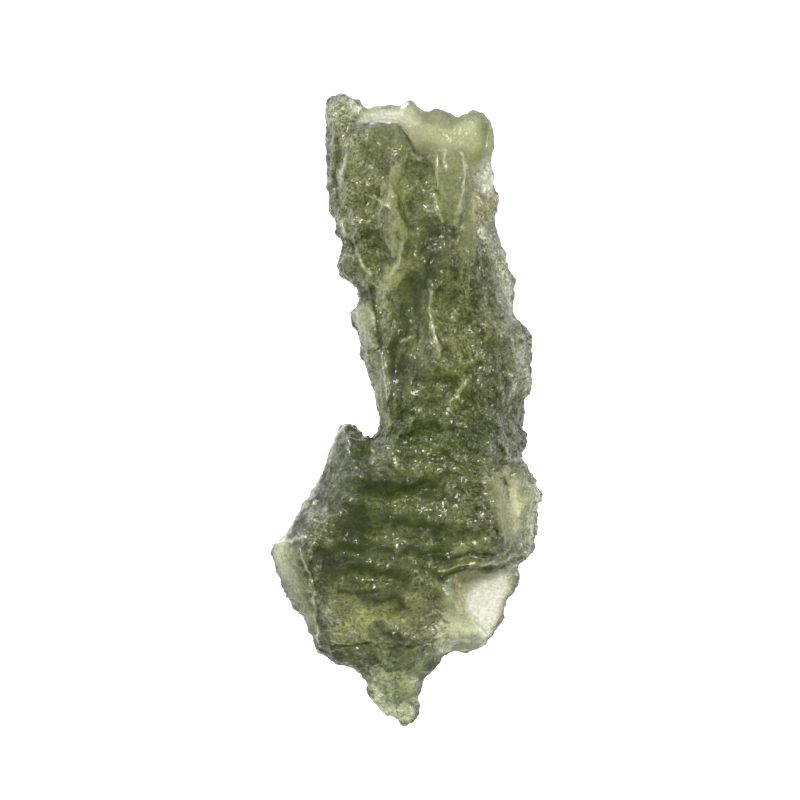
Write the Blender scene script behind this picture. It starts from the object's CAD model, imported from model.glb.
"""The looks of a rough moldavite tektite: etched green glass lying on its back on a white surface.

Metres in the row's frame. Places and sizes on the stone are in millimetres in the same frame, looking down
on its front.
"""

import bmesh
import bpy
import numpy as np
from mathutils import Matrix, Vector, noise


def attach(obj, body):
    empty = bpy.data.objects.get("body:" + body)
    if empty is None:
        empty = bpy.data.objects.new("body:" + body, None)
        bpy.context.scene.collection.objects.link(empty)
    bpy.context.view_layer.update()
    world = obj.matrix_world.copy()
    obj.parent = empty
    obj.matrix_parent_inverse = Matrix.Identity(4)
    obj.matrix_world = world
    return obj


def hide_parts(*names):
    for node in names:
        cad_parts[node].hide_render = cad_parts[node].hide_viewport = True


MM = 0.001

# The visual mesh
MERGED = 1e-7  # the solid's corners that are closer than this are one, in metres
MESH_STEP = 0.115  # size of the mesh's quads
SOFTEN = {"factor": 0.5, "iterations": 2}  # how much the solid's own facets are smoothed
REFINED = 0.22  # the mesh is finer this close to the fine bands
TRIANGLES = 190000  # kept of the mesh, most of them where its relief is sharp

# The etched relief in the mesh
STRETCH = 1.45  # how much longer the pits are along the flow than across it
FLOW_TURN = (0.0, -3.5)  # it runs along the arm above the first Y, and across the body below the second
RELIEF_SEED = 7.0
PITS = [(1.2, 0.17), (0.5, 0.12)]  # size and depth
PIT_RANDOMNESS = 0.95
PIT_BEND = ({"Scale": 0.9, "Detail": 2.0}, 1.1)  # the noise that bends rows of pits, and its reach
PIT_POWER = 1.7  # of the distance from a pit's middle, so that it is a round bowl
PIT_RISE = (1.7, 0.75)  # how much a pit rises outward from its middle, and how far that is sunk
PIT_VARIETY = (1.1, 0.35)  # range of the pits' depths, and the shallowest
CRUMPLE = (0.8, 0.45)  # size and height of the uneven relief between the pits
CRUMPLE_NOISE = {"Detail": 5.0, "Roughness": 0.62}
TEETH = (0.45, 0.4)  # size and height of the crumbly relief along the stone's outline
TEETH_NOISE = {"Detail": 2.0, "Roughness": 0.6}

# Relief of the skin that is too fine for the mesh
SKIN_BEND = ({"Scale": 3.0, "Detail": 2.0}, 0.3)
SCALLOPS = [(0.36, 0.035), (0.17, 0.02)]  # size and depth
SCALLOP_POWER = 1.6
SCALLOP_RIM = 0.6  # distance from a scallop's middle to its rim, to that power
GRAINS = (0.1, 0.03)  # size and height
SUGAR = ({"Scale": 1.0 / 0.16, "Detail": 2.0}, 0.04)  # grain of the etched skin, and its height
SATIN = ({"Scale": 1.0 / 0.09, "Detail": 1.0}, 0.012)  # grain of the clear breaks, and its height

# Patterns of the skin. Levels run from the first two values to the last two.
MOTTLE = {"Scale": 1.0 / 0.5, "Detail": 4.0, "Roughness": 0.6}  # light and dark patches in the etched skin
CRUMBS = {"Scale": 1.0 / 0.2, "Detail": 3.0, "Roughness": 0.7}  # light grains
CRUMB_LEVELS = (0.47, 0.57, 0.0, 0.55)
GRAIN_LEVELS = (0.1, 0.8, 0.02, 0.5)
SPARKS = 0.13  # how far apart the glinting grains are
DULL_SPARKS = 0.78  # share of them that don't glint
SPARK_LEVELS = (0.42, 0.2, 0.0, 0.5)
SHINE_LEVELS = (0.68, 1.0, 0.0, 0.8)
SHINY_PATCHES = (0.42, 0.6, 0.1, 1.0)

# The glass
GLASS = {"IOR": 1.49, "Transmission Weight": 0.9, "Coat Roughness": 0.35, "Coat IOR": 3.0}
ABSORPTION = {"Color": (0.42, 0.463, 0.06, 1.0), "Density": 372.0}
GAP_TINT = (0.014, 0.02, 0.003, 1.0)  # of the gaps between grains
DEPTH_SHADE = (-0.17, 0.13, 0.12, 1.0)  # pits are darker than the ridges between them
MOTTLE_SHADE = (0.38, 0.58, 0.2, 1.0)
ETCHED_ROUGHNESS = (0.0, 1.0, 0.5, 0.28)
CLEAR_ROUGHNESS = (0.0, 0.5, 0.28, 0.85)
RIDGE_SHINE = (0.7, 0.15)  # for the speckle, and everywhere on a sharp ridge

# Which way the skin faces, from the height of its normal: where each mask starts and is full
FRONT = (-0.5, -0.1)
SIDES = (-0.95, -0.7)  # all but the underside
RIM = (0.25, 0.7)  # the outline's crumbly rim fades out between these
FROSTED = (0.0, 0.3)
CARVED = 1.5  # how steeply the fine bands fade towards the outline

# How the skin is painted
WANDER = [(0.9, 0.45), (0.3, 0.2)]  # size and reach of the uneven shifts of painted borders
WANDER_SEED = 7
STRIP_WANDER = 1.6  # share of those shifts that the painted strips follow
LINE_WANDER = 0.4  # and the ridges and grooves
BACK_ETCHED = 0.3  # the underside is less etched than the front and the sides
FLANK_SHADE = 0.25  # how much of the front's dark shade the flanks have
FLANK_GRAIN = 0.5  # how grainy the flanks are beside the front
CLEAR_GRAIN = 0.3  # and clear glass beside etched glass
RIDGE_GRAIN = 0.7  # how much of the grain a sharp ridge loses
FLANK_TINT = (0.7, 0.78, 0.42)
SKIN_TINT = (0.86, 0.88, 0.72)
RIDGE_LOOK = (0.4, (1.0, 1.0, 1.0), 1.0)
GROOVE_LOOK = (0.6, (0.03, 0.045, 0.014), 0.0)
CHIP_SOFTNESS = 0.15
CHIP_SHINE = 0.5
STAIN_STRENGTH = 0.7
REACHES_AROUND = 0.5  # places cleaner than this reach around the edge to the underside

# Fine relief along paths: points, half width, height (negative sinks)
FINE_BANDS = [
    # the leaf's right rim, and the folds of its left side
    ([(3.45, 15.3), (3.6, 14.5), (3.45, 13.2), (3.25, 12.2), (2.95, 10.95)], 0.1, 0.15),
    ([(2.4, 15.45), (2.35, 14.25)], 0.08, 0.05),
    ([(2.0, 15.0), (1.95, 14.0), (1.8, 12.95)], 0.09, 0.09),
    ([(1.6, 12.6), (1.95, 11.8), (2.2, 11.1)], 0.1, 0.12),
    # ridges farther down the arm
    ([(-0.2, 9.7), (-0.2, 8.9), (-0.4, 8.35), (-0.85, 7.9)], 0.1, 0.13),
    ([(-2.9, 9.45), (-2.6, 8.55), (-2.15, 8.0)], 0.12, 0.15),
    ([(-0.25, 4.0), (0.45, 4.35)], 0.09, 0.12),
    ([(1.65, 6.85), (1.4, 5.95), (1.7, 4.9), (1.9, 4.0), (2.05, 3.1)], 0.13, 0.16),
    ([(-1.35, 3.6), (-1.15, 2.15), (-0.95, 0.7)], 0.12, 0.14),
    # the groove beside the pod
    ([(-1.95, 7.2), (-1.8, 5.95), (-1.6, 4.65), (-1.4, 3.6)], 0.14, -0.3),
    # a small ridge at the foot of the arm
    ([(3.7, 1.85), (3.2, 1.1), (2.75, 0.45)], 0.08, 0.1),
    # the groove along the crown's left edge
    ([(-4.0, 16.2), (-4.1, 14.0), (-3.95, 12.2)], 0.12, -0.15),
    # the groove under the ledge, the ledge's lip, and the groove above it
    ([(2.1, -9.9), (3.0, -9.62), (4.3, -9.5), (5.4, -9.5), (6.1, -9.2), (6.9, -8.9)], 0.14, -0.38),
    ([(2.1, -9.55), (3.0, -9.25), (4.3, -9.1), (5.4, -9.15), (6.1, -8.85)], 0.1, 0.08),
    ([(2.6, -8.85), (3.9, -8.5), (5.2, -8.65)], 0.12, -0.2),
    # the creases of the window's left side and of the left facet
    ([(3.0, -9.9), (3.15, -10.8), (3.6, -11.8), (4.3, -12.8), (4.9, -13.5)], 0.1, 0.11),
    ([(-6.2, -8.2), (-5.6, -9.6), (-5.35, -11.0), (-5.3, -12.4), (-5.2, -13.9)], 0.06, 0.06),
    # ridges above the left facet and along the body's left edge
    ([(-7.6, -8.0), (-7.1, -7.75), (-6.4, -7.6), (-5.9, -7.5)], 0.12, 0.12),
    ([(-3.4, -0.8), (-4.1, -1.6), (-4.5, -2.8), (-5.4, -4.6), (-6.4, -6.3), (-7.1, -7.5)], 0.13, 0.09),
    # the crack in the lens, and the groove above the spur
    ([(5.8, -4.1), (6.1, -4.6), (6.2, -5.2)], 0.09, -0.3),
    ([(-5.1, -13.8), (-3.8, -14.1), (-2.6, -14.0), (-1.1, -14.0), (0.4, -14.1), (1.8, -13.7)], 0.12, -0.22),
    # the groove under the crown's scar
    ([(-2.4, 17.05), (-0.45, 17.0), (0.05, 16.2), (0.7, 15.3), (1.3, 15.05)], 0.1, -0.14),
    # the arm's left crest, and a ridge across the arm
    ([(-3.45, 15.1), (-3.7, 14.4), (-3.85, 13.4)], 0.09, 0.07),
    ([(-3.7, 11.2), (-3.5, 10.4)], 0.09, 0.06),
    ([(-2.2, 12.6), (-1.3, 12.3), (-0.7, 11.65)], 0.08, 0.09),
]

# Borders of the places that differ from the etched skin
CROWN_BREAK = [(-0.4, 17.0), (0.0, 16.2), (0.9, 15.0), (2.2, 15.3), (3.1, 15.6), (3.7, 14.8), (4.0, 13.6),
               (4.6, 14.7), (5.2, 14.9), (6.6, 16.7), (5.9, 19.0), (3.1, 19.2), (1.0, 19.5), (-0.2, 18.2)]
CROWN_FACE = [(0.2, 16.3), (0.3, 17.2), (1.2, 17.3), (2.2, 17.0), (3.2, 16.9), (4.2, 17.1), (4.9, 17.2),
              (5.1, 16.6), (5.0, 15.4), (4.5, 14.6), (3.9, 14.6), (3.3, 15.4), (1.6, 15.1), (0.7, 15.3)]
CROWN_VEIL = [(-2.8, 18.7), (-2.7, 17.2), (-0.4, 17.0), (0.7, 17.3), (1.2, 18.2), (0.1, 19.0),
              (-1.5, 18.6)]
UPPER_BREAK = [(-2.0, 16.9), (-0.5, 17.0), (0.0, 16.1), (0.4, 15.3), (-0.8, 15.0),
               (-1.7, 15.4), (-2.1, 16.1)]
LEAF = [(2.1, 15.4), (3.1, 15.5), (3.5, 15.2), (3.65, 14.5), (3.5, 13.0), (3.3, 12.0), (2.9, 10.9),
        (2.4, 11.0), (2.2, 11.9), (1.8, 12.7), (1.7, 13.7), (1.9, 14.8)]
BESIDE_LEAF = [(3.75, 14.8), (4.1, 13.7), (4.2, 12.7), (4.3, 11.1), (4.1, 9.3), (3.6, 8.5), (3.1, 9.5),
               (3.2, 11.0), (3.6, 12.7)]
GRAINY_PATCH = [(4.5, 14.9), (5.2, 14.9), (5.6, 14.0), (5.5, 13.2), (5.1, 12.9), (4.35, 13.0), (4.2, 13.7)]
BROWN_PATCH = [(4.35, 13.0), (5.1, 12.9), (5.5, 13.1), (5.6, 12.2), (5.5, 11.1), (4.8, 11.3), (4.3, 11.9)]
WINDOW = [(2.9, -9.75), (4.3, -9.55), (5.4, -9.55), (6.1, -9.3), (5.9, -9.8), (6.2, -10.3), (6.6, -11.0),
          (6.1, -11.9), (5.7, -12.9), (5.1, -13.6), (4.3, -12.8), (3.6, -11.8), (3.1, -10.8)]
WINDOW_CHIPS = [(6.0, -9.2), (7.1, -8.9), (6.8, -10.1), (6.7, -10.9), (6.2, -10.3), (5.9, -9.8)]
PALE_SLOPE = [(1.9, -10.2), (2.9, -10.0), (3.4, -11.8), (4.3, -12.9), (4.6, -13.6),
              (3.1, -13.5), (2.2, -12.4)]
LOW_PALE = [(2.6, -13.7), (3.1, -13.4), (4.5, -13.6), (5.1, -13.9), (4.4, -14.5),
            (3.5, -14.8), (2.7, -14.6)]
LEFT_FACET = [(-8.0, -8.4), (-7.1, -7.7), (-6.5, -8.1), (-6.0, -9.5), (-5.5, -11.1), (-5.2, -12.8),
              (-5.1, -13.8), (-5.6, -14.2), (-6.2, -12.4), (-7.1, -10.7), (-7.7, -9.9)]
LENS = [(5.1, -3.7), (6.1, -3.3), (6.9, -3.7), (7.3, -4.6), (7.1, -6.2), (6.9, -7.7), (6.4, -8.1),
        (5.7, -6.7), (5.2, -5.4)]
LENS_EDGE = [(6.3, -3.4), (7.0, -3.5), (7.7, -4.8), (7.6, -6.2), (7.2, -7.4),
             (6.8, -6.8), (6.9, -5.2), (6.6, -4.2)]
POD = [(-2.8, 6.1), (-2.1, 6.2), (-1.8, 5.4), (-1.7, 4.1), (-2.1, 3.5), (-2.7, 4.2), (-2.9, 5.1)]
LOWER_BAND = [(-5.3, -13.8), (-2.6, -14.05), (0.5, -14.15), (1.4, -14.6), (0.4, -15.2), (-1.6, -15.2),
              (-3.0, -15.6), (-4.8, -15.0)]
BASIN = [(-1.6, 10.6), (-0.5, 10.7), (-0.3, 9.3), (-0.8, 8.0), (-1.6, 7.8), (-2.1, 8.8), (-2.1, 9.8)]
NECK = [(-2.0, 1.0), (0.5, 1.6), (3.9, 1.2), (6.2, 0.6), (6.6, -1.4), (5.6, -2.8),
        (3.4, -3.0), (0.5, -3.4), (-1.4, -2.2), (-3.2, -1.4)]
KNOB = [(-5.0, 19.0), (-4.7, 17.2), (-3.0, 17.0), (-2.6, 18.8)]
LEFT_ARM = [(-4.4, 17.0), (-4.3, 13.0), (-4.0, 10.6), (-2.6, 10.4), (-2.4, 13.0), (-2.6, 17.0)]
RING_PIT = [(-1.1, 8.6), (-0.9, 8.85), (-0.6, 8.75), (-0.55, 8.5), (-0.8, 8.35)]
RIGHT_EDGE = [(5.9, 5.6), (6.8, 4.6), (7.2, 2.9), (7.3, 1.2), (6.6, 1.2), (6.1, 3.2)]
BODY_LOW = [(-4.2, -10.6), (1.4, -10.4), (1.9, -13.4), (-1.5, -13.8), (-4.4, -13.6)]
SPUR = [(-4.0, -14.8), (2.0, -14.6), (1.6, -16.5), (0.8, -18.6), (-0.7, -18.9), (-3.1, -16.8)]
BODY_MIDDLE = [(-4.2, -4.6), (-1.0, -4.0), (2.0, -4.2), (2.3, -8.6), (1.4, -9.4), (-4.4, -9.4)]
ABOVE_LEDGE = [(2.4, -9.3), (2.9, -8.2), (4.1, -7.6), (5.6, -8.2), (6.3, -8.5),
               (5.6, -8.9), (4.3, -8.9), (3.2, -9.1)]
SPUR_LUMP = [(1.3, -14.4), (2.3, -14.1), (2.9, -14.9), (2.2, -15.6), (1.3, -15.9), (0.8, -15.3)]
SHOULDER = [(-3.9, -0.7), (-2.6, -0.8), (-1.6, -1.8), (-2.4, -4.0), (-4.6, -5.0),
            (-5.2, -4.2), (-4.2, -1.8)]

# Paths of the painted strips
RIB = [(-0.4, 14.3), (-0.6, 12.7), (-0.6, 11.1), (-0.3, 9.8), (0.0, 8.9), (-0.4, 8.2), (-1.0, 7.4)]
BESIDE_RIB = [(0.7, 14.0), (0.9, 12.6), (0.9, 11.2), (1.0, 10.2), (0.5, 9.4)]
CHANNEL = [(1.7, 10.0), (1.5, 8.9), (1.3, 7.9), (0.5, 6.7), (0.3, 5.4), (0.2, 4.4),
           (-0.2, 3.4), (-0.1, 2.4)]
RIGHT_STRIP = [(4.6, 10.6), (5.2, 9.0), (5.8, 7.4), (6.2, 6.4), (6.3, 5.6)]
LEFT_LOW_EDGE = [(-1.9, 2.9), (-1.6, 1.4), (-1.35, 0.2), (-1.25, -0.4)]
LEFT_RIM = [(-3.9, -0.2), (-4.6, -2.2), (-5.6, -4.4), (-6.9, -6.6), (-7.8, -7.5)]
LEFT_EDGE = [(-3.3, 0.2), (-3.9, -1.4), (-4.8, -3.4), (-5.8, -5.2), (-6.8, -6.9)]
SPUR_LIGHT = [(0.0, -14.8), (0.3, -16.0), (0.2, -17.4)]

# Flutes across the body, with their widths, and the light between them
FLUTES = [
    ([(-2.6, -4.5), (-1.1, -4.4), (0.4, -4.5), (1.8, -4.6)], 0.5),
    ([(-4.6, -5.6), (-3.4, -5.8), (-2.6, -5.9)], 0.4),
    ([(-2.6, -6.9), (0.2, -6.9), (1.9, -7.1)], 0.55),
    ([(-3.7, -7.3), (-2.6, -7.2)], 0.3),
    ([(-2.9, -8.1), (-1.1, -8.1), (0.5, -8.2), (2.2, -8.5)], 0.5),
    ([(-4.6, -9.0), (-2.6, -9.5), (-1.6, -9.7), (-0.5, -9.8)], 0.45),
    ([(-3.7, -10.7), (-2.6, -10.8), (-1.6, -11.1), (-0.3, -11.5)], 0.35),
    ([(-1.6, -12.9), (-0.8, -13.2), (0.0, -13.6)], 0.3),
]
LIGHT_BANDS = [
    [(-1.8, -5.7), (0.2, -5.6), (1.8, -5.8)],
    [(-2.2, -7.6), (0.0, -7.5), (2.2, -7.7)],
    [(-1.5, -9.0), (0.5, -9.0), (2.0, -9.3)],
    [(-2.5, -10.3), (-0.5, -10.4), (1.5, -10.6)],
]

# Pale chips and splinters that catch the light
CHIPS = [
    [(-1.9, 6.6), (-1.6, 7.0), (-1.0, 7.2), (-1.3, 6.6)],
    [(4.3, 11.5), (4.7, 11.3), (5.1, 10.2), (4.8, 9.7), (4.5, 10.5)],
    [(5.9, 8.3), (6.3, 8.2), (6.5, 7.2), (6.5, 5.9), (6.2, 6.4), (6.0, 7.4)],
    [(4.4, 17.6), (4.9, 17.3), (5.15, 16.4), (4.95, 15.4), (4.7, 16.2), (4.5, 17.0)],
    [(6.4, 3.5), (7.1, 3.7), (7.1, 3.0), (6.5, 2.8)],
    [(6.2, 2.1), (7.1, 2.3), (7.0, 1.4), (6.4, 1.2)],
    [(-3.8, -1.1), (-3.2, -0.9), (-2.2, -1.5), (-2.0, -2.0), (-2.6, -2.2), (-3.7, -2.0)],
    [(-2.1, -2.5), (-1.1, -2.4), (-0.2, -3.9), (-0.9, -4.3), (-1.9, -3.7)],
    [(-6.0, -6.2), (-5.2, -5.5), (-4.7, -5.9), (-5.1, -6.7), (-5.8, -6.7)],
    [(-3.5, -13.1), (-2.6, -12.9), (-2.5, -13.6), (-3.3, -13.7)],
    [(-2.3, 15.8), (-2.5, 15.3), (-3.0, 14.3), (-2.7, 14.6)],
]

# Painted places: border, softness, etched 0 to 1, tint of the glass, how clean of dark grain
AREAS = [
    (CROWN_BREAK, 0.25, 0.22, (0.72, 0.73, 0.58), 1.0),
    (CROWN_FACE, 0.5, 0.1, (0.23, 0.24, 0.145), 1.0),
    (CROWN_VEIL, 0.3, 0.35, (1.0, 1.0, 1.0), 1.0),
    (UPPER_BREAK, 0.2, 0.5, (0.42, 0.45, 0.27), 0.2),
    (LEAF, 0.25, 0.35, (0.62, 0.65, 0.52), 0.5),
    (BESIDE_LEAF, 0.4, 0.3, (0.62, 0.65, 0.5), 0.5),
    (GRAINY_PATCH, 0.2, 0.8, (0.8, 0.8, 0.74), 0.7),
    (BROWN_PATCH, 0.4, 0.8, (0.72, 0.56, 0.33), 0.4),
    (WINDOW, 0.15, 0.3, (0.62, 0.61, 0.56), 0.8),
    (WINDOW_CHIPS, 0.2, 0.8, (0.75, 0.75, 0.72), 0.5),
    (PALE_SLOPE, 0.3, 0.3, (0.9, 0.92, 0.72), 0.9),
    (LOW_PALE, 0.5, 0.4, (0.05, 0.053, 0.034), 0.6),
    (LEFT_FACET, 0.3, 0.45, (0.74, 0.77, 0.62), 0.6),
    (LENS, 0.4, 0.35, (1.0, 1.0, 0.88), 0.9),
    (LENS_EDGE, 0.3, 0.6, (0.22, 0.235, 0.17), 0.4),
    (ABOVE_LEDGE, 0.4, 0.7, (0.85, 0.89, 0.62), 0.4),
    (POD, 0.3, 0.5, (1.0, 1.0, 0.95), 1.0),
    (LOWER_BAND, 0.4, 0.7, (0.4, 0.46, 0.25), 0.0),
    (BASIN, 0.5, 1.0, (0.28, 0.32, 0.2), 0.0),
    (NECK, 1.0, 1.0, (0.32, 0.37, 0.21), 0.0),
    (SHOULDER, 0.6, 0.9, (0.16, 0.19, 0.09), 0.0),
    (KNOB, 0.5, 1.0, (0.7, 0.72, 0.6), 0.3),
    (LEFT_ARM, 0.6, 1.0, (0.92, 0.93, 0.78), 0.6),
    (RING_PIT, 0.15, 0.5, (0.02, 0.03, 0.01), 0.0),
    (RIGHT_EDGE, 0.5, 1.0, (1.0, 1.0, 0.95), 0.5),
    (BODY_LOW, 0.8, 0.8, (1.0, 1.0, 0.78), 1.0),
    (BODY_MIDDLE, 0.8, 0.9, (0.28, 0.34, 0.16), 0.0),
    (SPUR, 0.5, 0.9, (0.45, 0.5, 0.3), 0.1),
    (SPUR_LUMP, 0.5, 0.4, (0.006, 0.01, 0.003), 0.0),
]

# Painted strips: path, half width, and the same looks
STRIPS = [
    (RIB, 0.5, 0.35, (1.0, 1.0, 0.83), 0.95),
    (BESIDE_RIB, 0.6, 0.75, (0.7, 0.75, 0.58), 0.0),
    (CHANNEL, 1.1, 0.5, (0.012, 0.02, 0.003), 0.0),
    (RIGHT_STRIP, 0.4, 0.8, (1.0, 1.0, 1.0), 0.8),
    (LEFT_LOW_EDGE, 0.6, 0.6, (1.0, 1.0, 1.0), 1.0),
    (LEFT_RIM, 0.35, 1.0, (0.08, 0.09, 0.055), 0.0),
    (LEFT_EDGE, 0.8, 0.65, (0.06, 0.075, 0.03), 0.0),
    (SPUR_LIGHT, 0.4, 0.4, (0.5, 0.54, 0.32), 0.5),
]
FLUTE_SPREAD = 1.8  # how much wider a flute's shade is than the flute
FLUTE_LOOK = (0.45, (0.006, 0.012, 0.0015), 0.0)
LIGHT_BAND_LOOK = (0.3, 1.0, (0.5, 0.55, 0.34), 0.05)
STRIPS += [(path, FLUTE_SPREAD * width, *FLUTE_LOOK) for path, width in FLUTES]
STRIPS += [(path, *LIGHT_BAND_LOOK) for path in LIGHT_BANDS]

# Brownish stains: path, half width, tint
STAINS = [
    ([(2.95, -9.8), (3.1, -10.8), (3.55, -11.8), (4.2, -12.7)], 0.16, (0.5, 0.34, 0.2)),
    ([(3.3, -10.1), (4.0, -10.4)], 0.5, (0.68, 0.6, 0.5)),
]

# Places that scatter light whitely: border, softness, amount
FROST = [(CROWN_VEIL, 0.45, 1.0), (GRAINY_PATCH, 0.2, 0.3), (PALE_SLOPE, 0.5, 0.2)]

# The surface under the stone and the light, in metres
FLOOR_HALF = 2.0
FLOOR_GAP = 0.00002
PAPER = {
    "Base Color": (0.08, 0.08, 0.08, 1.0),
    "Roughness": 0.9,
    "Emission Color": (1.0, 1.0, 1.0, 1.0),
    "Emission Strength": 2.0,
}
HORIZON, ZENITH = (0.56, 0.555, 0.49, 1.0), (0.06, 0.06, 0.05, 1.0)
SKY_LEVELS = (0.0, 0.7, 0.0, 1.0)
LIGHT_COLOR = (1.0, 0.99, 0.78)
# name, place, size, and power in watts
SOFTBOXES = [
    ("left softbox", (-0.25, 0.2, 0.3), 0.16, 2.0),
    ("right softbox", (0.3, 0.05, 0.25), 0.12, 0.8),
]

# The camera's sensor and lens, the place it looks straight down at, and the width that it sees there
SENSOR, LENS = 36.0, 180.0
AIM = (-0.28, 0.57, 3.5)
PICTURE = 48.0


def distance_to_path(points, path, closed=False):
    """How far each plan point is from a path of straight runs."""
    corners = np.array(path + path[:1] if closed else path, float)
    nearest = np.full(len(points), np.inf)
    for start, end in zip(corners[:-1], corners[1:]):
        run = end - start
        along = np.clip(((points - start) @ run) / (run @ run), 0.0, 1.0)
        gap = points - start - along[:, None] * run
        nearest = np.minimum(nearest, np.hypot(gap[:, 0], gap[:, 1]))
    return nearest


def is_inside(points, border):
    """Which plan points a border holds."""
    inside = np.zeros(len(points), bool)
    for (x0, y0), (x1, y1) in zip(border, border[1:] + border[:1]):
        if y0 == y1:
            continue
        crosses = (y0 > points[:, 1]) != (y1 > points[:, 1])
        at = x0 + (points[:, 1] - y0) * (x1 - x0) / (y1 - y0)
        inside ^= crosses & (points[:, 0] < at)
    return inside


def smooth_step(value, low, high):
    """0 below low and 1 above high, with a smooth rise between."""
    t = np.clip((value - low) / (high - low), 0.0, 1.0)
    return t * t * (3.0 - 2.0 * t)


def area_mask(points, border, soft):
    """1 inside a border, falling to 0 over the softness."""
    distance = distance_to_path(points, border, closed=True)
    return smooth_step(np.where(is_inside(points, border), distance, -distance), -soft, soft)


def bell(distance, half_width):
    """1 on a path, falling to 0 beside it."""
    return np.exp(-((distance / half_width) ** 2))


def at_least(low, share):
    """A share from 0 to 1, drawn together to run from low to 1."""
    return low + (1.0 - low) * share


def wander(points):
    """The points' plan, shifted unevenly so that no painted border is straight."""
    noise.seed_set(WANDER_SEED)
    plan = points[:, :2].copy()
    for size, reach in WANDER:
        plan += reach * np.array([noise.noise_vector(Vector(point) / size)[:2] for point in points])
    return plan


def vertex_array(mesh, name="co"):
    """The vertices' places or normals, one row for each."""
    values = np.empty(len(mesh.vertices) * 3)
    mesh.vertices.foreach_get(name, values)
    return values.reshape(-1, 3)


def place_vertices(mesh, points):
    mesh.vertices.foreach_set("co", points.ravel())
    mesh.update()


def apply_modifiers(obj):
    """Makes what the modifiers give the object's own mesh, and takes them off."""
    graph = bpy.context.evaluated_depsgraph_get()
    obj.data = bpy.data.meshes.new_from_object(obj.evaluated_get(graph))
    obj.modifiers.clear()


def modify(obj, kind, **settings):
    """Changes the object's mesh by one modifier."""
    modifier = obj.modifiers.new(kind.title(), kind)
    for name, value in settings.items():
        setattr(modifier, name, value)
    apply_modifiers(obj)


def fine_stone(cad):
    """A dense copy of the solid, in millimetres."""
    mesh = cad.data.copy()
    mesh.name = "stone"
    mesh.materials.clear()
    whole = bmesh.new()
    whole.from_mesh(mesh)
    bmesh.ops.remove_doubles(whole, verts=whole.verts, dist=MERGED)
    whole.to_mesh(mesh)
    whole.free()
    place_vertices(mesh, vertex_array(mesh) / MM)
    stone = bpy.data.objects.new("stone", mesh)
    bpy.context.scene.collection.objects.link(stone)
    modify(stone, "REMESH", mode="VOXEL", voxel_size=MESH_STEP)
    modify(stone, "SMOOTH", **SOFTEN)
    return stone


def refine(stone):
    """Splits the mesh's faces near the fine bands."""
    whole = bmesh.new()
    whole.from_mesh(stone.data)
    points = np.array([vert.co for vert in whole.verts])
    near = np.full(len(points), np.inf)
    for path, _, _ in FINE_BANDS:
        near = np.minimum(near, distance_to_path(points[:, :2], path))
    close = (near < REFINED) & (vertex_array(stone.data, "normal")[:, 2] > 0.0)
    edges = [edge for edge in whole.edges if all(close[vert.index] for vert in edge.verts)]
    bmesh.ops.subdivide_edges(whole, edges=edges, cuts=1, use_grid_fill=True)
    whole.to_mesh(stone.data)
    whole.free()
    stone.data.update()


def carve(stone):
    """Adds the fine bands to the stone's front."""
    points, normals = vertex_array(stone.data), vertex_array(stone.data, "normal")
    push = np.zeros(len(points))
    facing = np.clip(normals[:, 2] * CARVED, 0.0, 1.0)
    for path, half_width, rise in FINE_BANDS:
        push += rise * bell(distance_to_path(points[:, :2], path), half_width)
    place_vertices(stone.data, points + normals * (push * facing)[:, None])


def place_masks(plan, straight):
    """Where each painted area and strip is, from 0 to 1, with its look."""
    masks = [(area_mask(plan, border, soft), *look) for border, soft, *look in AREAS]
    roaming = straight + STRIP_WANDER * (plan - straight)
    return masks + [(bell(distance_to_path(roaming, path), width), *look) for path, width, *look in STRIPS]


def line_masks(plan, straight):
    """Where each fine band is, from 0 to 1, and whether it is a ridge."""
    trembling = (1.0 - LINE_WANDER) * straight + LINE_WANDER * plan
    return [
        (bell(distance_to_path(trembling, path), width), rise > 0.0)
        for path, width, rise in FINE_BANDS
    ]


def flow_coordinates(points):
    """The points drawn together along the flow, so that patterns on them come out longer that way."""
    across = smooth_step(-points[:, 1], -FLOW_TURN[0], -FLOW_TURN[1])
    flow = points.copy()
    flow[:, 0] /= 1.0 + (STRETCH - 1.0) * across
    flow[:, 1] /= 1.0 + (STRETCH - 1.0) * (1.0 - across)
    return flow


def store(mesh, name, values):
    """Keeps a number, a vector or a colour at each vertex."""
    kinds = {1: ("FLOAT", "value"), 3: ("FLOAT_VECTOR", "vector"), 4: ("FLOAT_COLOR", "color")}
    kind, key = kinds[values.size // len(mesh.vertices)]
    mesh.attributes.new(name, kind, "POINT").data.foreach_set(key, values.ravel())


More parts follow.
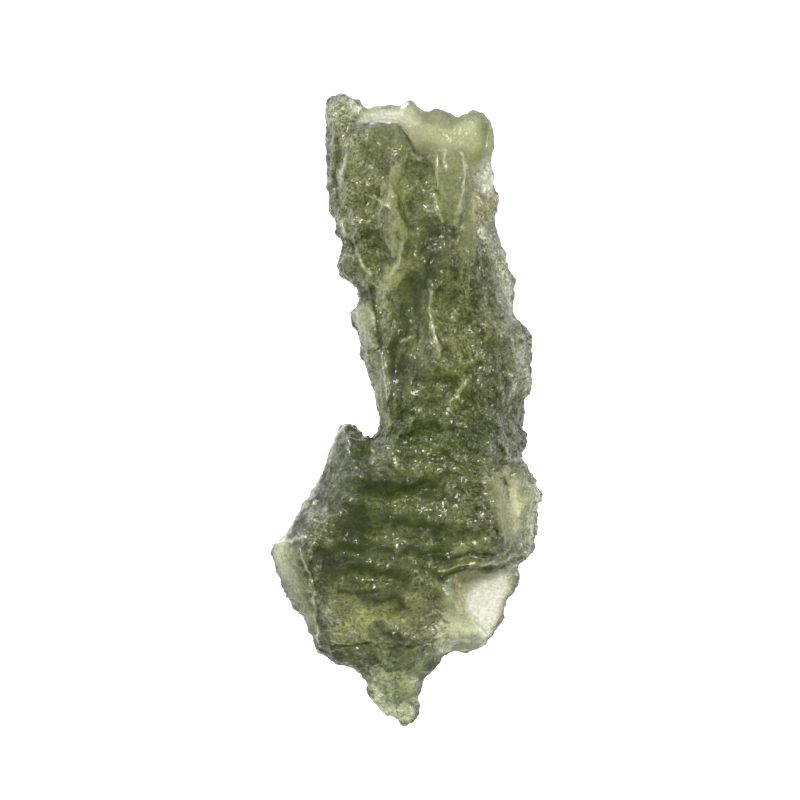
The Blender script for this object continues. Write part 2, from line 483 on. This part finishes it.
def paint_places(stone):
    """Vertex attributes: how etched, clean, grainy, sharp and frosted the skin is, its tint and flow."""
    points, normals = vertex_array(stone.data), vertex_array(stone.data, "normal")
    plan, straight = wander(points), points[:, :2]
    upward = normals[:, 2]
    front, sides = smooth_step(upward, *FRONT), smooth_step(upward, *SIDES)
    flank = (sides * (1.0 - front))[:, None]
    etched = at_least(BACK_ETCHED, sides)
    clean = 1.0 - sides * at_least(FLANK_SHADE, front)
    tint = 1.0 - front[:, None] * (1.0 - np.array(SKIN_TINT)) - flank * (1.0 - np.array(FLANK_TINT))
    ridge = np.zeros(len(points))
    masks = place_masks(plan, straight)
    for band, is_ridge in line_masks(plan, straight):
        masks.append((band, *(RIDGE_LOOK if is_ridge else GROOVE_LOOK)))
        ridge = np.maximum(ridge, band * front * is_ridge)
    for mask, level, color, free in masks:
        share = mask * (sides if free > REACHES_AROUND else front)
        etched += share * (level - etched)
        clean += share * (free - clean)
        tint += (mask * front)[:, None] * (np.array(color) - tint)
    for path, width, color in STAINS:
        stain = STAIN_STRENGTH * bell(distance_to_path(plan, path), width) * front
        tint += stain[:, None] * (np.array(color) - tint)
    grainy = sides * at_least(FLANK_GRAIN, front) * at_least(CLEAR_GRAIN, etched)
    grainy *= 1.0 - RIDGE_GRAIN * ridge
    for border in CHIPS:
        ridge = np.maximum(ridge, CHIP_SHINE * area_mask(plan, border, CHIP_SOFTNESS) * front)
    frost = np.zeros(len(points))
    for border, soft, amount in FROST:
        frost = np.maximum(frost, amount * area_mask(plan, border, soft) * smooth_step(upward, *FROSTED))
    store(stone.data, "rim", 1.0 - smooth_step(np.abs(upward), *RIM))
    store(stone.data, "etched", etched)
    store(stone.data, "clean", clean)
    store(stone.data, "grainy", grainy)
    store(stone.data, "ridge", ridge)
    store(stone.data, "frost", frost)
    store(stone.data, "tint", np.column_stack([tint, np.ones(len(points))]))
    store(stone.data, "flow", flow_coordinates(points))


class Nodes:
    """Short ways to add nodes to a tree and link them."""

    def __init__(self, tree):
        self.tree = tree

    def add(self, kind, inputs=(), **settings):
        node = self.tree.nodes.new(kind)
        for name, value in settings.items():
            setattr(node, name, value)
        for name, value in dict(inputs).items():
            self.feed(value, node.inputs[name])
        return node

    def feed(self, value, socket):
        if isinstance(value, bpy.types.NodeSocket):
            self.tree.links.new(value, socket)
        else:
            socket.default_value = value

    def math(self, operation, *values, clamp=False):
        node = self.add("ShaderNodeMath", dict(enumerate(values)), operation=operation, use_clamp=clamp)
        return node.outputs[0]

    def vector_math(self, operation, *values):
        return self.add("ShaderNodeVectorMath", dict(enumerate(values)), operation=operation).outputs[0]

    def scaled(self, vector, scale):
        node = self.add("ShaderNodeVectorMath", {0: vector, "Scale": scale}, operation="SCALE")
        return node.outputs[0]

    def numbers(self, vector):
        """A vector's or a colour's three numbers."""
        return self.add("ShaderNodeSeparateXYZ", {0: vector}).outputs

    def texture(self, kind, place, **inputs):
        return self.add(f"ShaderNodeTex{kind}", {"Vector": place, **inputs}).outputs

    def bent(self, place, pattern, reach):
        """The place, shifted by a noise."""
        shift = self.texture("Noise", place, **pattern)["Color"]
        return self.vector_math("MULTIPLY_ADD", shift, (reach, reach, reach), place)

    def ramp(self, value, levels, **settings):
        """The value, with the first two levels brought to the last two."""
        inputs = {"Value": value, **dict(enumerate(levels, 1))}
        return self.add("ShaderNodeMapRange", inputs, **settings).outputs[0]

    def mix(self, share, low, high):
        return self.add("ShaderNodeMix", {0: share, 2: low, 3: high}).outputs[0]

    def mix_colors(self, share, low, high):
        return self.add("ShaderNodeMix", {0: share, 6: low, 7: high}, data_type="RGBA").outputs[2]


def relief_tree():
    """Etched relief: pits of two sizes drawn out along the flow. It also keeps the height it added."""
    tree = bpy.data.node_groups.new("Etched relief", "GeometryNodeTree")
    face = tree.interface
    face.new_socket("Geometry", in_out="INPUT", socket_type="NodeSocketGeometry")
    sizes = {"Seed": RELIEF_SEED}
    sizes["Crumple size"], sizes["Crumple height"] = CRUMPLE
    sizes["Tooth size"], sizes["Tooth height"] = TEETH
    for index, pit in enumerate(PITS, 1):
        sizes[f"Pit size {index}"], sizes[f"Pit depth {index}"] = pit
    for name, value in sizes.items():
        face.new_socket(name, in_out="INPUT", socket_type="NodeSocketFloat").default_value = value
    face.new_socket("Glass", in_out="INPUT", socket_type="NodeSocketMaterial")
    face.new_socket("Geometry", in_out="OUTPUT", socket_type="NodeSocketGeometry")
    n = Nodes(tree)
    given, result = n.add("NodeGroupInput").outputs, n.add("NodeGroupOutput")

    def attribute(name, kind="FLOAT"):
        return n.add("GeometryNodeInputNamedAttribute", {"Name": name}, data_type=kind).outputs["Attribute"]

    def uneven(name, pattern):
        """A noise of the named size, half above and half below zero."""
        scale = n.math("DIVIDE", 1.0, given[f"{name} size"])
        return n.math("SUBTRACT", n.texture("Noise", flow, Scale=scale, **pattern)[0], 0.5)

    seed = n.add("ShaderNodeCombineXYZ", {"Z": given["Seed"]}).outputs[0]
    flow = n.vector_math("ADD", attribute("flow", "FLOAT_VECTOR"), seed)
    bent = n.bent(flow, *PIT_BEND)
    total = 0.0
    for index in range(1, len(PITS) + 1):
        scale = n.math("DIVIDE", 1.0, given[f"Pit size {index}"])
        cells = n.texture("Voronoi", bent, Scale=scale, Randomness=PIT_RANDOMNESS)
        bowl = n.math("MULTIPLY", n.math("POWER", cells["Distance"], PIT_POWER), PIT_RISE[0])
        bowl = n.math("SUBTRACT", bowl, PIT_RISE[1])
        deep = n.math("MULTIPLY_ADD", n.numbers(cells["Color"])[0], *PIT_VARIETY)
        bowl = n.math("MULTIPLY", n.math("MULTIPLY", bowl, deep), given[f"Pit depth {index}"])
        total = n.math("ADD", total, bowl)
    total = n.math("MULTIPLY_ADD", uneven("Crumple", CRUMPLE_NOISE), given["Crumple height"], total)
    total = n.math("MULTIPLY", total, attribute("etched"))
    teeth = n.math("MULTIPLY", uneven("Tooth", TEETH_NOISE), given["Tooth height"])
    total = n.math("MULTIPLY_ADD", teeth, attribute("rim"), total)
    offset = n.scaled(n.add("GeometryNodeInputNormal").outputs[0], total)
    moved = n.add("GeometryNodeSetPosition", {"Geometry": given["Geometry"], "Offset": offset})
    inputs = {"Geometry": moved.outputs[0], "Name": "relief", "Value": total}
    kept = n.add("GeometryNodeStoreNamedAttribute", inputs)
    real = n.add("GeometryNodeRealizeInstances", {0: kept.outputs[0]})
    painted = n.add("GeometryNodeSetMaterial", {"Geometry": real.outputs[0], "Material": given["Glass"]})
    n.feed(painted.outputs[0], result.inputs[0])
    return tree


def etch(stone, glass):
    """Applies the etched relief, and takes the stone back to metres."""
    modifier = stone.modifiers.new("Etched relief", "NODES")
    modifier.node_group = relief_tree()
    for item in modifier.node_group.interface.items_tree:
        if item.in_out == "INPUT" and item.name == "Glass":
            modifier[item.identifier] = glass
    apply_modifiers(stone)
    count = sum(len(face.vertices) - 2 for face in stone.data.polygons)
    modify(stone, "DECIMATE", ratio=TRIANGLES / count)
    points = vertex_array(stone.data) * MM
    points[:, 2] = np.maximum(points[:, 2], 0.0)
    place_vertices(stone.data, points)
    stone.data.shade_smooth()


def skin_group():
    """A shader group for the skin: the height of its fine relief in millimetres, and three patterns."""
    group = bpy.data.node_groups.new("Etched skin", "ShaderNodeTree")
    face = group.interface
    face.new_socket("Flow", in_out="INPUT", socket_type="NodeSocketVector")
    face.new_socket("Etched", in_out="INPUT", socket_type="NodeSocketFloat")
    for name in ("Height", "Speckle", "Mottle", "Glints"):
        face.new_socket(name, in_out="OUTPUT", socket_type="NodeSocketFloat")
    n = Nodes(group)
    given, result = n.add("NodeGroupInput").outputs, n.add("NodeGroupOutput").inputs
    place = n.scaled(n.add("ShaderNodeTexCoord").outputs["Object"], 1.0 / MM)

    bent = n.bent(given["Flow"], *SKIN_BEND)
    rough = 0.0
    for size, depth in SCALLOPS:
        cells = n.texture("Voronoi", bent, Scale=1.0 / size)
        rise = n.math("POWER", cells["Distance"], SCALLOP_POWER)
        rough = n.math("MULTIPLY_ADD", rise, depth / SCALLOP_RIM, rough)
    pattern, sugar_height = SUGAR
    rough = n.math("MULTIPLY_ADD", n.texture("Noise", place, **pattern)[0], sugar_height, rough)
    grain_size, grain_height = GRAINS
    grains = n.texture("Voronoi", place, Scale=1.0 / grain_size)
    rough = n.math("MULTIPLY_ADD", grains["Distance"], -grain_height, rough)
    pattern, satin_height = SATIN
    satin = n.texture("Noise", place, **pattern)[0]
    rough = n.math("MULTIPLY", rough, given["Etched"])
    n.feed(n.math("MULTIPLY_ADD", satin, satin_height, rough), result["Height"])

    mottle = n.texture("Noise", given["Flow"], **MOTTLE)[0]
    n.feed(mottle, result["Mottle"])
    own = n.numbers(grains["Color"])
    crumbs = n.ramp(n.texture("Noise", place, **CRUMBS)[0], CRUMB_LEVELS)
    n.feed(n.math("ADD", n.ramp(own[0], GRAIN_LEVELS), crumbs), result["Speckle"])

    # besides the few sparks, many grains shine a little, most of them in the light patches
    sparks = n.texture("Voronoi", place, Scale=1.0 / SPARKS)
    glints = n.math("GREATER_THAN", n.numbers(sparks["Color"])[0], DULL_SPARKS)
    dot = n.math("MULTIPLY", glints, n.ramp(sparks["Distance"], SPARK_LEVELS))
    shine, patch = n.ramp(own[1], SHINE_LEVELS), n.ramp(mottle, SHINY_PATCHES)
    n.feed(n.math("MULTIPLY_ADD", shine, patch, dot), result["Glints"])
    return group


def moldavite_glass():
    """Green glass with an etched, sugary skin, which is satin on the clear breaks."""
    glass = bpy.data.materials.new("moldavite_glass")
    glass.use_nodes = True
    n = Nodes(glass.node_tree)
    shader = glass.node_tree.nodes["Principled BSDF"].inputs
    for name, value in GLASS.items():
        shader[name].default_value = value

    def attribute(name, output="Fac"):
        return n.add("ShaderNodeAttribute", attribute_name=name).outputs[output]

    etched, grainy, ridge = attribute("etched"), attribute("grainy"), attribute("ridge")
    group = n.add("ShaderNodeGroup", node_tree=skin_group())
    n.feed(attribute("flow", "Vector"), group.inputs["Flow"])
    n.feed(etched, group.inputs["Etched"])
    skin = group.outputs
    bump = n.add("ShaderNodeBump", {"Strength": 1.0, "Distance": MM, "Height": skin["Height"]})
    n.feed(bump.outputs[0], shader["Normal"])

    # pits are darker and greener than the ridges between them, and so are the gaps between grains
    mottle = n.mix(etched, 1.0, n.ramp(skin["Mottle"], MOTTLE_SHADE))
    shade = n.math("MULTIPLY", n.ramp(attribute("relief"), DEPTH_SHADE), mottle)
    shade = n.mix(attribute("clean"), shade, 1.0)
    shade = n.math("MULTIPLY", shade, n.mix(grainy, 1.0, skin["Speckle"]))
    n.feed(n.mix_colors(shade, GAP_TINT, attribute("tint", "Color")), shader["Base Color"])
    gloss, satin = n.ramp(skin["Speckle"], ETCHED_ROUGHNESS), n.ramp(grainy, CLEAR_ROUGHNESS)
    n.feed(n.mix(etched, satin, gloss), shader["Roughness"])

    # single grains and sharp ridges glint
    sharp = n.math("MULTIPLY", ridge, n.math("MULTIPLY_ADD", skin["Speckle"], *RIDGE_SHINE))
    sharp = n.math("ADD", sharp, attribute("frost"))
    glint = n.math("MULTIPLY", skin["Glints"], grainy)
    n.feed(n.math("ADD", sharp, glint, clamp=True), shader["Coat Weight"])
    volume = n.add("ShaderNodeVolumeAbsorption", ABSORPTION)
    n.feed(volume.outputs[0], glass.node_tree.nodes["Material Output"].inputs["Volume"])
    return glass


def white_floor():
    """A bright sheet just under the stone."""
    mesh = bpy.data.meshes.new("floor")
    corners = [(x * FLOOR_HALF, y * FLOOR_HALF, 0.0) for x, y in ((-1, -1), (1, -1), (1, 1), (-1, 1))]
    mesh.from_pydata(corners, [], [(0, 1, 2, 3)])
    floor = bpy.data.objects.new("floor", mesh)
    floor.location.z = -FLOOR_GAP
    bpy.context.scene.collection.objects.link(floor)
    paper = bpy.data.materials.new("white_table")
    paper.use_nodes = True
    for name, value in PAPER.items():
        paper.node_tree.nodes["Principled BSDF"].inputs[name].default_value = value
    mesh.materials.append(paper)


def softbox(name, place, size, power):
    """A square soft light that faces the stone."""
    light = bpy.data.lights.new(name, "AREA")
    light.shape, light.size = "SQUARE", size
    light.energy, light.color = power, LIGHT_COLOR
    lamp = bpy.data.objects.new(name, light)
    lamp.location = place
    lamp.rotation_euler = Vector(place).to_track_quat("Z", "Y").to_euler()
    bpy.context.scene.collection.objects.link(lamp)


def studio():
    """A sky that darkens upward, and two softboxes."""
    world = bpy.data.worlds.new("studio")
    bpy.context.scene.world = world
    world.use_nodes = True
    n = Nodes(world.node_tree)
    up = n.numbers(n.add("ShaderNodeTexCoord").outputs["Generated"])["Z"]
    sky = n.mix_colors(n.ramp(up, SKY_LEVELS, interpolation_type="SMOOTHSTEP"), HORIZON, ZENITH)
    n.feed(sky, world.node_tree.nodes["Background"].inputs["Color"])
    for name, place, size, power in SOFTBOXES:
        softbox(name, place, size, power)


def camera():
    """Straight down on the stone's front, as in the photo."""
    view = bpy.data.cameras.new("camera")
    view.sensor_width, view.lens = SENSOR, LENS
    eye = bpy.data.objects.new("camera", view)
    x, y, z = AIM
    eye.location = (x * MM, y * MM, (z + PICTURE * LENS / SENSOR) * MM)
    bpy.context.scene.collection.objects.link(eye)
    bpy.context.scene.camera = eye


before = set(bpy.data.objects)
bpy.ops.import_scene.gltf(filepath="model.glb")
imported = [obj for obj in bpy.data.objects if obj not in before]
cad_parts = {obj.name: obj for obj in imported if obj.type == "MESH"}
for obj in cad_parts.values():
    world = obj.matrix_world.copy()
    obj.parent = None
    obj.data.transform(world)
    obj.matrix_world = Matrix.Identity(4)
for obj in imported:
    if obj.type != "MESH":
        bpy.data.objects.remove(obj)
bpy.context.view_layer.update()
glass = moldavite_glass()
stone = fine_stone(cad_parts["moldavite"])
refine(stone)
carve(stone)
paint_places(stone)
etch(stone, glass)
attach(stone, "root")
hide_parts("moldavite")
white_floor()
studio()
camera()
bpy.context.scene.view_settings.view_transform = "Standard"
